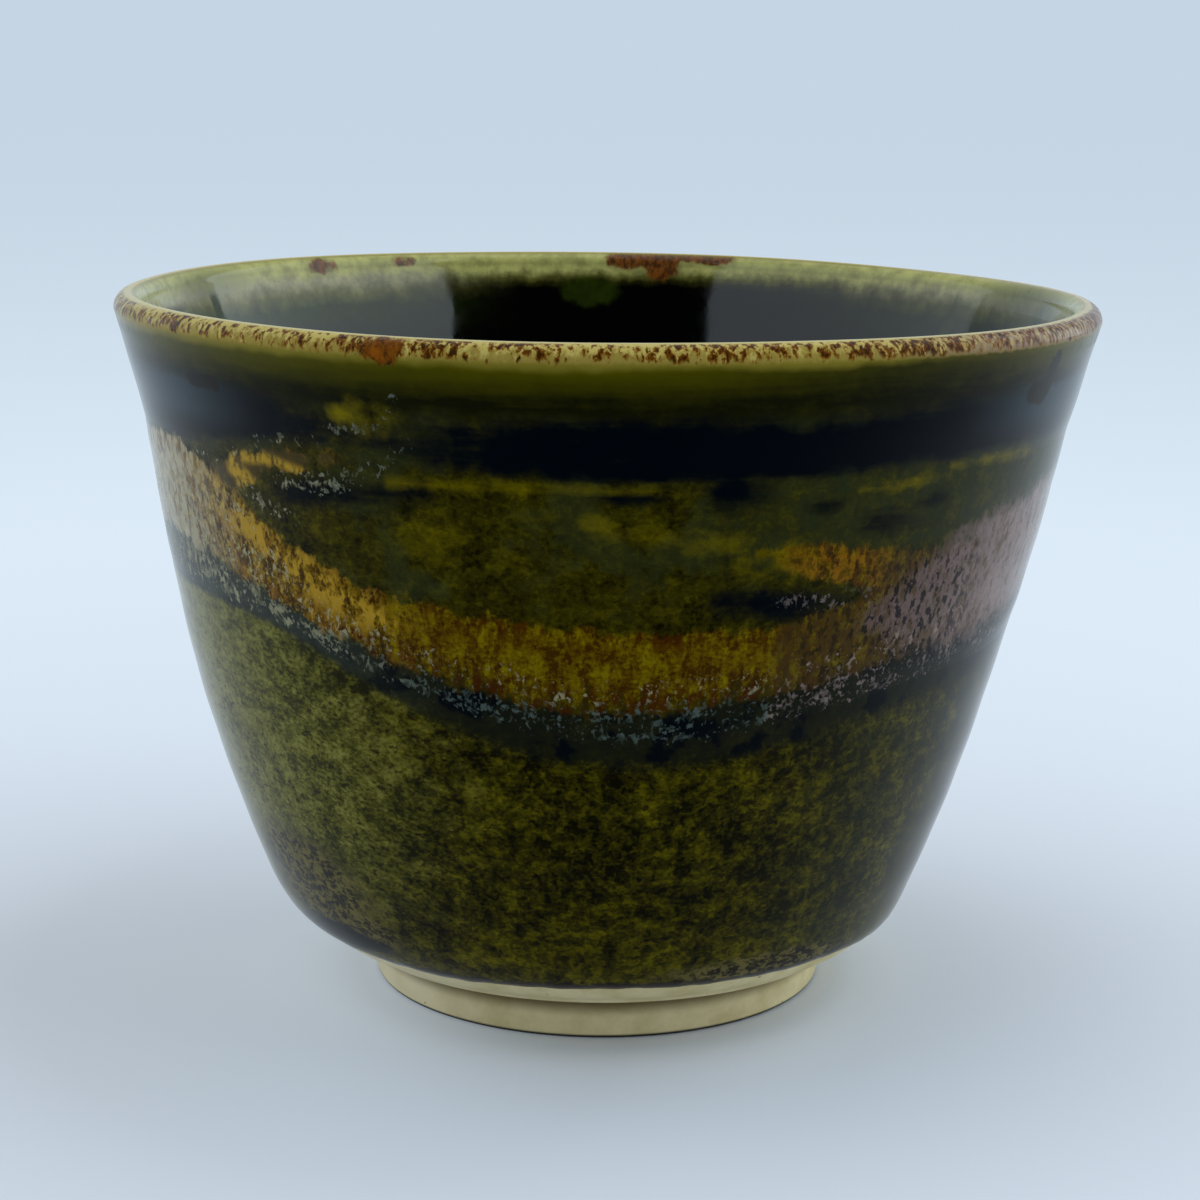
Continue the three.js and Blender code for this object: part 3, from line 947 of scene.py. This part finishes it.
share = marked(g, "swag_share")
from_middle = put(g, "Math", {0: weigh(g, (share, 2.0), (-1.1, 1.0))}, operation="ABSOLUTE").outputs[0]
rusty = rise(g, grain(g, 1.2, 4, 0.64, along=(1, 1, 1.9), shift=21), 0.48, 0.58)
rusty = both(g, rusty, rise(g, share, 1.3, 1.1, 0.5, 1.0))
grit = weigh(g, (torn, 0.6), (streak, 0.4))
scars = grain(g, 0.7, 4, 0.64, along=(1, 1, 1.8), shift=53)
honey = grain(g, 0.55, 3, 0.6, along=(1, 1, 1.6), shift=59)
ochre_tone = weigh(g, (streak, 0.6), (mottle, 0.35), (fine, 0.4), (-0.188, 1.0))
ochre = layered(
    g,
    ramp(g, ochre_tone, [(0.4, OCHRE_BROWN), (0.49, OCHRE), (0.6, OCHRE_YELLOW)]),
    (rise(g, ragged(g, share, streak, 1.1), 0.36, 0.0, 0.0, 0.85), OCHRE_FOOT),
    (both(g, rusty, rise(g, from_middle, 0.1, 0.9, 0.25, 0.85)), OCHRE_RED),
    (marked(g, "tail"), TAIL),
    (where(g, "glow", ragged(g, mottle, torn, 0.5), 0.42, 0.56, 0.05, 0.85), BRANCH_ORANGE),
    (where(g, "bright", ochre_tone, 0.42, 0.58, 0.0, 0.9), OCHRE_BRIGHT),
    (where(g, "beige", grit, 0.42, 0.57, 0.05, 0.8), BEIGE),
    (where(g, "bright", ragged(g, sway, mottle, 0.6), 0.5, 0.6, 0.0, 0.7), AMBER),
    (where(g, "bright", scars, 0.49, 0.57, 0.0, 0.85), OCHRE_BROWN),
    # Pale honey-coloured flecks on the left ochre, which also stand in for painted glints
    (where(g, "bright", honey, 0.57, 0.65, 0.0, 0.6), HONEY),
    (where(g, "gold", ragged(g, sway, torn, 1.3), 0.46, 0.62, 0.0, 0.85), ORANGE),
    # Painted sheen: pale grey-beige flecks on the pour near the left edge
    (where(g, "bloom", grit, 0.42, 0.57, 0.1, 0.8), BLOOM),
    (where(g, "seam", grit, 0.4, 0.6, 1.0, 0.45), MAUVE_BROWN),
    (where(g, "hooked", mottle, 0.35, 0.65, 0.98, 0.75), HOOK_BROWN),
    (where(g, "orange", torn, 0.38, 0.58, 0.1, 0.95), ORANGE),
)

inside = torn_mark(g, "ochre", (torn, 3.0), (sway, 2.6))
mauve = torn_mark(g, "mauve", (torn, 2.4), (sway, 1.0), keep=0.3)
# Painted sheen: the mauve turns paler toward the right edge
mauve_tone = blend(g, marked(g, "pale"), MAUVE, MAUVE_PALE)
mauve_tone = blend(g, rise(g, grit, 0.46, 0.6, 0.0, 0.75), mauve_tone, MAUVE_BROWN)
pits = grain(g, 0.75, 4, 0.62, along=(1, 1, 1.5), shift=47)
pit_share = both(g, rise(g, mauve, 0.0, 0.5, 0.55, 0.85), rise(g, inside, -0.5, 0.5))
clusters = rise(g, grain(g, 2.2, 2, 0.5, shift=41), 0.36, 0.6, 0.45, 1.0)
chance = both(g, marked(g, "crystal"), clusters)
speck_shade = rise(g, grain(g, 1.0, 2, 0.5, shift=43), 0.35, 0.62, 0.3, 1.0)
crystals = sums(g, "MAXIMUM", flecks(g, 0.7, chance, 31), both(g, flecks(g, 0.42, chance, 33), 0.8))
crystals = both(g, crystals, both(g, speck_shade, rise(g, marked(g, "bright"), 0, 1, 0.75, 1.0)))
tint = layered(
    g,
    CRYSTAL,
    (rise(g, inside, 0.2, 1.8), CRYSTAL_WARM),
    (both(g, marked(g, "bright"), 0.7), CRYSTAL_WARM),
    (both(g, marked(g, "seam"), 0.8), MAUVE_PALE),
)
colour = layered(
    g,
    olive,
    (rise(g, inside, -0.25, 0.5), ochre),
    (rise(g, mauve, 0.15, 0.95, 0.0, 0.95), mauve_tone),
    (both(g, where(g, "pitted", pits, 0.5, 0.58), pit_share), NAVY),
    (crystals, tint),
    (rise(g, torn_mark(g, "brown", (fine, 0.9)), 0.3, 0.6), BROWN_MARK),
)
relief = weigh(g, (grain(g, 1.6, 2, 0.4), 0.6), (crystals, group_in.outputs["Crystal Height"]))
for name, value in (("Colour", colour), ("Crystals", crystals), ("Relief", relief)):
    g.links.new(value, group_out.inputs[name])


def run_glaze_material(name):
    """Glossy glass in the run glazes' colours."""
    tree, shader, material = new_material(name)
    outputs = put(tree, "Group", {"Crystal Height": CRYSTAL_HEIGHT}, node_tree=run_group).outputs
    rough = rise(tree, outputs["Crystals"], 0.0, 1.0, 0.14, 0.3)
    lay_surface(tree, shader, outputs["Colour"], rough, outputs["Relief"], 0.15, 0.06)
    shader.inputs["Specular Tint"].default_value = GLOSS_TINT
    shader.inputs["IOR"].default_value = GLOSS_IOR
    return material


olive_glaze = run_glaze_material("olive_glaze")
outer_carrier = belly_swing[:-1] + wall_line(wall_radius, BELLY[1], LIP_BAND, OUTER_STEP)
outer_depths = [float(coat_depth(point[1])) for point in outer_carrier]
outer_depths[:2] = EDGE_DEPTHS
outer_outline = coat_outline(outer_carrier, outer_depths)
outer = turned_piece("outer_glaze_coat", outer_outline, COAT_TURNS)
places = places_of(outer)
azimuth = azimuth_of(places)
clay_line = np.array([(UNDERSIDE_RADIUS, BASE + UNDERSIDE_EDGE), *clay_outside])
radius = np.hypot(places[:, 0], places[:, 1])
depth = radius - np.interp(places[:, 2], clay_line[:, 1], clay_line[:, 0])
places[:, 2] += edge_lift(azimuth) * (1 - ease(places[:, 2], 8, 14))
places[:, :2] *= ((np.interp(places[:, 2], clay_line[:, 1], clay_line[:, 0]) + depth) / radius)[:, None]
put_places(outer, places)
shape_by_hand(outer)
mark_run_glazes(outer)
smooth_faces(outer)
dress(outer, olive_glaze, "outer_glaze")


# Lip glaze
# The same glazes where they ran thin off the lip and broke: cream over the clay, with rust where the iron
# shows. Away from the crest they thicken into the coats inside and outside.
LIP_CREAM = (0.5, 0.405, 0.11, 1)
LIP_STRAW = (0.3, 0.225, 0.045, 1)
LIP_CREST = (0.54, 0.45, 0.16, 1)
LIP_PINK = (0.22, 0.15, 0.125, 1)
LIP_AMBER = (0.22, 0.105, 0.008, 1)
LIP_RUST = (0.13, 0.036, 0.002, 1)
LIP_DARK = (0.025, 0.007, 0.001, 1)
LIP_ORANGE = (0.24, 0.062, 0.002, 1)
LIP_GREEN = (0.19, 0.155, 0.018, 1)
RUST_ON_LIP = [(-22.8, 70.9, 3.2, 1.5, 1.0)]
LIP_STEP = 0.3

lip_carrier = wall_line(wall_radius, LIP_BAND, LIP[1], LIP_STEP)[:-1]
lip_carrier += arc(lip_middle, LIP_ROUND, 0, 180, 16)
lip_carrier += wall_line(wall_inside, LIP[1], LIP_BAND, LIP_STEP)[1:]
lip_outline = coat_outline(lip_carrier, SEAT_GAP + LIP_COAT)
lip = turned_piece("lip_glaze_coat", lip_outline, COAT_TURNS)
places = places_of(lip)
outward = np.hypot(places[:, 0], places[:, 1]) - lip_middle[0]
upward = places[:, 2] - LIP[1]
skin_radius = LIP_ROUND + SEAT_GAP + LIP_COAT
over = np.arctan2(outward, np.maximum(upward, 0)) * skin_radius
mark(lip, from_crest=over - np.sign(outward) * np.minimum(upward, 0))
shape_by_hand(lip)
mark_run_glazes(lip)
mark_liner(lip, RUST_ON_LIP)
mark(lip, pink=between(azimuth_of(places_of(lip)), 22, 50, 120, 150))

tree, shader, lip_glaze = new_material("lip_glaze")
outside = put(tree, "Group", {"Crystal Height": CRYSTAL_HEIGHT}, node_tree=run_group)
inside = put(tree, "Group", {"Runs": LINER_RUNS}, node_tree=liner_group)
crest = marked(tree, "from_crest")
under = blend(tree, rise(tree, crest, -0.4, 0.4), inside.outputs["Colour"], outside.outputs["Colour"])
wisps = grain(tree, 0.8, 5, 0.64, along=(1, 1, 2.0))
dashes = grain(tree, 0.55, 4, 0.62, along=(1, 1, 2.1), shift=51)
gaps = grain(tree, 4.0, 2, 0.5, shift=57)
green_edge = both(tree, rise(tree, ragged(tree, crest, gaps, 1.2), 3.5, 2.5), rise(tree, crest, -1.2, -0.2))
green_edge = both(tree, green_edge, rise(tree, marked(tree, "pink"), 0.0, 0.8, 1.0, 0.15))
cream = both(tree, rise(tree, ragged(tree, crest, wisps, 0.7), 2.75, 2.25), rise(tree, crest, -0.7, -0.1))
cream_tone = blend(tree, rise(tree, ragged(tree, crest, wisps, 5.0), 2.1, 1.0), LIP_STRAW, LIP_CREAM)
band = both(tree, rise(tree, crest, 0.35, 0.7), rise(tree, ragged(tree, crest, wisps, 2.4), 2.6, 2.0))
share = weigh(tree, (dashes, 1.0), (gaps, 0.4), (marked(tree, "pink"), 0.05), (-0.2, 1.0))
spots = rise(tree, torn_mark(tree, "rust", (wisps, 1.4)), 0.45, 0.75)
spots = both(tree, spots, rise(tree, crest, -0.4, 0.2))
rusty = sums(tree, "MAXIMUM", both(tree, band, rise(tree, share, 0.5, 0.56)), spots)
dots = rise(tree, grain(tree, 0.6, 3, 0.6, shift=61), 0.52, 0.64)
spot_core = rise(tree, torn_mark(tree, "rust", (wisps, 1.0)), 0.65, 1.0)
spot_core = both(tree, spot_core, rise(tree, dashes, 0.36, 0.56, 0.95, 0.15))
rust_tone = layered(
    tree,
    LIP_RUST,
    (sums(tree, "MAXIMUM", rise(tree, share, 0.57, 0.65), dots), LIP_DARK),
    (both(tree, spot_core, rise(tree, crest, 0.0, 0.4)), LIP_ORANGE),
)
crest_line = rise(tree, ragged(tree, crest, wisps, 0.5), 0.5, 0.25)
crest_line = both(tree, crest_line, rise(tree, crest, -0.35, -0.1, 0.0, 0.85))
colour = layered(
    tree,
    under,
    (green_edge, LIP_GREEN),
    (cream, cream_tone),
    (both(tree, cream, where(tree, "pink", wisps, 0.4, 0.6, 0.5, 0.95)), LIP_PINK),
    (both(tree, band, rise(tree, share, 0.43, 0.53, 0.0, 0.65)), LIP_AMBER),
    (both(tree, rusty, 0.95), rust_tone),
    (crest_line, LIP_CREST),
)
lay_surface(tree, shader, colour, rise(tree, wisps, 0.3, 0.7, 0.14, 0.24), wisps, 0.15, 0.06)
tree.links.new(rise(tree, crest, -0.5, -2.0, 0.0, 0.7), shader.inputs["Coat Weight"])
shader.inputs["Coat Roughness"].default_value = 0.07
shader.inputs["Coat IOR"].default_value = 1.45
shader.inputs["Specular Tint"].default_value = GLOSS_TINT
shader.inputs["IOR"].default_value = GLOSS_IOR
smooth_faces(lip)
dress(lip, lip_glaze, "lip_glaze")


# Swag glaze
# A ribbon of ochre glaze, poured from a ladle on the dry olive coat while the cup is turned. It hangs in
# festoons, melts level with the olive and throws a fringe of pale blue crystals along its lower edge.
STROKE_DEPTH = 0.12
STROKE_SINK = 0.05
STROKE_MARGIN = 1.0
SWAG_TURNS = 420
SWAG_ROWS = 30

coat_skin = np.array(offset(outer_carrier, outer_depths))


def coat_radius(level):
    """The radius of the olive coat's skin at a height."""
    return np.interp(level, coat_skin[:, 1], coat_skin[:, 0])


def wrap_stroke(piece, azimuth, level, inside):
    """Lays a flat strip on the olive coat and thickens it from its feathered edges to its middle."""
    radius = coat_radius(level) - STROKE_SINK
    turn = np.radians(azimuth)
    put_places(piece, np.column_stack([radius * np.sin(turn), -radius * np.cos(turn), level]))
    shares = (STROKE_SINK * 0.6 + STROKE_DEPTH * ease(inside, 0, 3.2)) / (STROKE_SINK + STROKE_DEPTH)
    depth = piece.vertex_groups.new(name="depth")
    for index, share in enumerate(shares):
        depth.add([index], float(share), "REPLACE")
    bpy.context.view_layer.objects.active = piece
    bpy.ops.object.mode_set(mode="EDIT")
    bpy.ops.mesh.select_all(action="SELECT")
    bpy.ops.mesh.normals_make_consistent(inside=False)
    bpy.ops.object.mode_set(mode="OBJECT")
    solid = piece.modifiers.new("thickness", "SOLIDIFY")
    solid.thickness = (STROKE_SINK + STROKE_DEPTH) * MM
    solid.offset = 1.0
    solid.vertex_group = "depth"
    bpy.ops.object.modifier_apply(modifier=solid.name)
    shape_by_hand(piece)
    mark_run_glazes(piece)
    smooth_faces(piece, 60)


bpy.ops.object.select_all(action="DESELECT")
bpy.ops.mesh.primitive_circle_add(vertices=SWAG_TURNS, radius=NECK[0] * MM)
swag = bpy.context.object
swag.name = "swag_glaze_pour"
bpy.ops.object.mode_set(mode="EDIT")
for _ in range(SWAG_ROWS):
    bpy.ops.mesh.extrude_region_move(TRANSFORM_OT_translate={"value": (0, 0, MM)})
bpy.ops.object.mode_set(mode="OBJECT")
flat = places_of(swag)
azimuth = azimuth_of(flat)
share = flat[:, 2] / SWAG_ROWS
high, _, low = eased_round(azimuth, SWAG)
high += STROKE_MARGIN
low -= STROKE_MARGIN
level = low + (high - low) * share
wrap_stroke(swag, azimuth, level, np.minimum(level - low, high - level))
ochre_glaze = run_glaze_material("ochre_glaze")
dress(swag, ochre_glaze, "swag_glaze")


# Branch glaze
# A short stroke of the same ochre glaze above the swag on the right, where the ladle was lifted. It thins
# to a yellow tail and melts into the olive coat.
def short_stroke(name, stroke, columns, rows):
    """A feathered strip along a stroke's line, laid on the olive coat."""
    bpy.ops.object.select_all(action="DESELECT")
    bpy.ops.mesh.primitive_grid_add(x_subdivisions=columns, y_subdivisions=rows, size=2 * MM)
    piece = bpy.context.object
    piece.name = name
    flat = places_of(piece)
    along = (flat[:, 0] + 1) / 2
    across = flat[:, 1]
    line = np.array(stroke)
    reach = math.degrees(STROKE_MARGIN / NECK[0])
    azimuth = line[0, 0] - reach + along * (line[-1, 0] - line[0, 0] + 2 * reach)
    middle, wide = (np.interp(azimuth, line[:, 0], line[:, column]) for column in (1, 2))
    ends = np.sqrt(np.clip(1 - (2 * along - 1) ** 8, 0.02, 1))
    half = (wide + STROKE_MARGIN) * ends
    edge = np.minimum(half * (1 - np.abs(across)), np.minimum(along, 1 - along) * 12)
    wrap_stroke(piece, azimuth, middle + half * across, edge)
    return piece


branch = short_stroke("branch_glaze_pour", BRANCH, 120, 20)
dress(branch, ochre_glaze, "branch_glaze")


# Hook glaze
# The small stroke at the upper left where the pour began: a thick drop of the ochre glaze on the olive coat,
# with a tail along the neck.
hook = short_stroke("hook_glaze_pour", HOOK, 90, 20)
dress(hook, ochre_glaze, "hook_glaze")


# Floor
# A plain pale sheet under the cup, wide enough to run out of the picture on every side. Far off it fades
# into the tent.
FLOOR_RADIUS = 8.0
FLOOR_COLOUR = (0.745, 0.79, 0.87, 1)
FLOOR_BRIGHT = (0.735, 0.85, 0.955, 1)
EYE_AWAY = 0.28
TENT_COLOUR = (0.56, 0.665, 0.77, 1)


def shown_rays(tree):
    """1 for rays that show the stage, straight or mirrored, and 0 for those that only light the cup."""
    path = put(tree, "LightPath")
    shown = sums(tree, "MAXIMUM", path.outputs["Is Camera Ray"], path.outputs["Is Glossy Ray"])
    return sums(tree, "MAXIMUM", shown, path.outputs["Is Transmission Ray"])


bpy.ops.object.select_all(action="DESELECT")
bpy.ops.mesh.primitive_circle_add(vertices=96, radius=FLOOR_RADIUS, fill_type="NGON")
floor = bpy.context.object
floor.name = "floor"
tree, shader, floor_sheet = new_material("floor_sheet")
shader.inputs["Base Color"].default_value = FLOOR_COLOUR
shader.inputs["Roughness"].default_value = 0.8
shader.inputs["Specular IOR Level"].default_value = 0.1
place = put(tree, "TexCoord").outputs["Object"]
away = put(tree, "VectorMath", {0: place}, operation="LENGTH").outputs["Value"]
shown = shown_rays(tree)
nearness = sums(tree, "DIVIDE", 1.0, sums(tree, "ADD", away, EYE_AWAY))
far_colour = blend(tree, rise(tree, nearness, 2.2, 0.3), FLOOR_BRIGHT, TENT_COLOUR)
glow = put(tree, "Emission", {"Color": far_colour, "Strength": 1.0})
aside = put(tree, "SeparateXYZ", {0: place}).outputs["X"]
# Painted light: close to the cup on the left, up to 0.28 of the shown floor is the bright glow, which
# lightens the cup's shadow there
near_left = both(tree, rise(tree, aside, 0.004, -0.03, 0.0, 0.28), rise(tree, away, 0.075, 0.03))
far = both(tree, shown, sums(tree, "MAXIMUM", rise(tree, away, 0.02, 0.3), near_left))
sheet = put(tree, "MixShader", {0: far, 1: shader.outputs[0], 2: glow.outputs[0]})
tree.links.new(sheet.outputs[0], tree.nodes["Material Output"].inputs["Surface"])
floor.data.materials.append(floor_sheet)


# Light
# A light tent: bright walls on both sides, a broad soft lamp above, and a dark opening in front, where the
# camera looks in. The inside of the cup mirrors the walls and the opening between them.
world = bpy.data.worlds.new("tent")
bpy.context.scene.world = world
world.use_nodes = True
tree = world.node_tree
tree.nodes.clear()
shown = shown_rays(tree)
tent_colour = blend(tree, shown, (0.36, 0.385, 0.41, 1), TENT_COLOUR)
background = put(tree, "Background", {"Color": tent_colour, "Strength": 1.0})
put(tree, "OutputWorld", {"Surface": background.outputs[0]})


def soft_wall(name, place, aim, wide, tall, power, colour=(1, 1, 1)):
    """A flat soft lamp, aimed at a point."""
    lamp = bpy.data.lights.new(name, "AREA")
    lamp.shape = "RECTANGLE"
    lamp.size = wide
    lamp.size_y = tall
    lamp.energy = power
    lamp.color = colour
    holder = bpy.data.objects.new(name, lamp)
    bpy.context.collection.objects.link(holder)
    holder.location = place
    holder.rotation_euler = (Vector(aim) - Vector(place)).to_track_quat("-Z", "Y").to_euler()
    return holder


WALL_AWAY = 0.45
WALL_MIDDLE = 0.44
WALL_TALL = 0.8
WALL_COLOUR = (0.87, 0.97, 1.0)
# Each wall's name, its place across and along, its width and its power
WALLS = [("right_wall", WALL_AWAY, 0.03, 0.78, 3.1), ("left_wall", -WALL_AWAY, -0.185, 1.0, 2.15)]
soft_wall("overhead", (0.0, 0.2, 0.85), (0, 0, 0.03), 0.7, 0.7, 1.9)
for name, x, y, wide, power in WALLS:
    soft_wall(name, (x, y, WALL_MIDDLE), (0, y, WALL_MIDDLE), wide, WALL_TALL, power, WALL_COLOUR)

OPENING_LEFT = Vector((-WALL_AWAY, -0.69, 0))
OPENING_RIGHT = Vector((WALL_AWAY, -0.36, 0))
OPENING_HEIGHT = 1.0
bpy.ops.object.select_all(action="DESELECT")
bpy.ops.mesh.primitive_plane_add(size=1)
opening = bpy.context.object
opening.name = "dark_opening"
span = OPENING_RIGHT - OPENING_LEFT
middle = (OPENING_LEFT + OPENING_RIGHT) / 2 + Vector((0, 0, OPENING_HEIGHT / 2))
across = Matrix.Rotation(math.atan2(span.y, span.x), 4, "Z")
upright = Matrix.Rotation(math.radians(90), 4, "X")
stretch = Matrix.Diagonal((span.length, OPENING_HEIGHT, 1, 1))
opening.data.transform(Matrix.Translation(middle) @ across @ upright @ stretch)
tree, shader, dark = new_material("dark_opening")
shader.inputs["Base Color"].default_value = (0.01, 0.01, 0.012, 1)
shader.inputs["Specular IOR Level"].default_value = 0.0
opening.data.materials.append(dark)
opening.visible_camera = False
opening.visible_diffuse = False


# Camera
# It looks in through the tent's opening at the photograph's viewing angle, about 28 cm from the cup's axis
# and a little above the lip.
CAMERA_AWAY = 0.2779
CAMERA_HEIGHT = 0.0978
LENS = 81.25
PITCH = math.radians(11.83)
ROLL = math.radians(0.60)
PAN = math.radians(-0.09)
ahead = Vector((math.sin(PAN), math.cos(PAN), 0))
right = Vector((math.cos(PAN), -math.sin(PAN), 0))
gaze = ahead * math.cos(PITCH) - Vector((0, 0, math.sin(PITCH)))
upright = right.cross(gaze)
side = right * math.cos(ROLL) + upright * math.sin(ROLL)
top = -right * math.sin(ROLL) + upright * math.cos(ROLL)
lens = bpy.data.cameras.new("camera")
lens.lens = LENS
lens.sensor_width = 36
lens.clip_start = 0.01
camera = bpy.data.objects.new("camera", lens)
bpy.context.collection.objects.link(camera)
turn = Matrix((side, top, -gaze)).transposed().to_4x4()
camera.matrix_world = Matrix.Translation((0, -CAMERA_AWAY, CAMERA_HEIGHT)) @ turn
bpy.context.scene.camera = camera
bpy.context.scene.view_settings.view_transform = "Standard"
